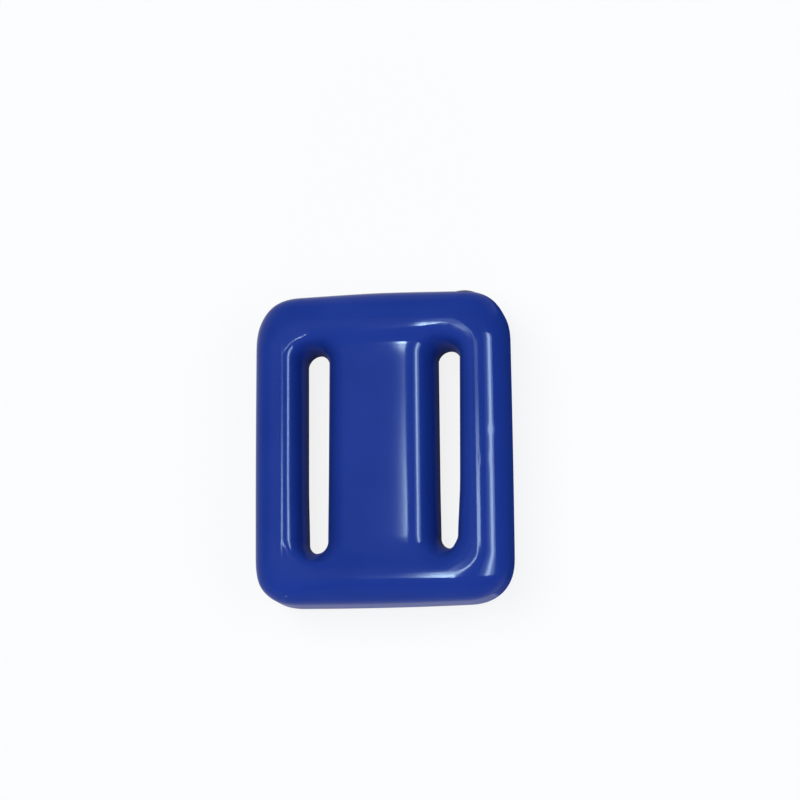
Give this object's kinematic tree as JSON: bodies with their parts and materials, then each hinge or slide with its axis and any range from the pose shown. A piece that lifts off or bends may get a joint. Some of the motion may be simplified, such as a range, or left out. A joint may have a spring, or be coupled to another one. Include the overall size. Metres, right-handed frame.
{
  "type": "diving weight",
  "caption": "Coated lead diving weight: a rounded rectangular bar with upright belt slots either side of a lowered web that seats the belt.",
  "frame": {"origin": "middle of the flat back, between the belt slots", "axes": "+Z from the back to the front, +Y along the belt slots towards the edge with the hanging hole, +X across the slots"},
  "size_m": [0.07, 0.0862, 0.024],
  "materials": {
    "blue_pvc": "glossy, soft, dip coated",
    "dab_pvc": "satin, dabbed on by hand",
    "cast_lead": "dull grey, as cast"
  },
  "bodies": {
    "root": {"lead_core": "cast_lead", "vinyl_coating": "blue_pvc", "hanging_hole_plug": "dab_pvc"}
  },
  "joints": []
}
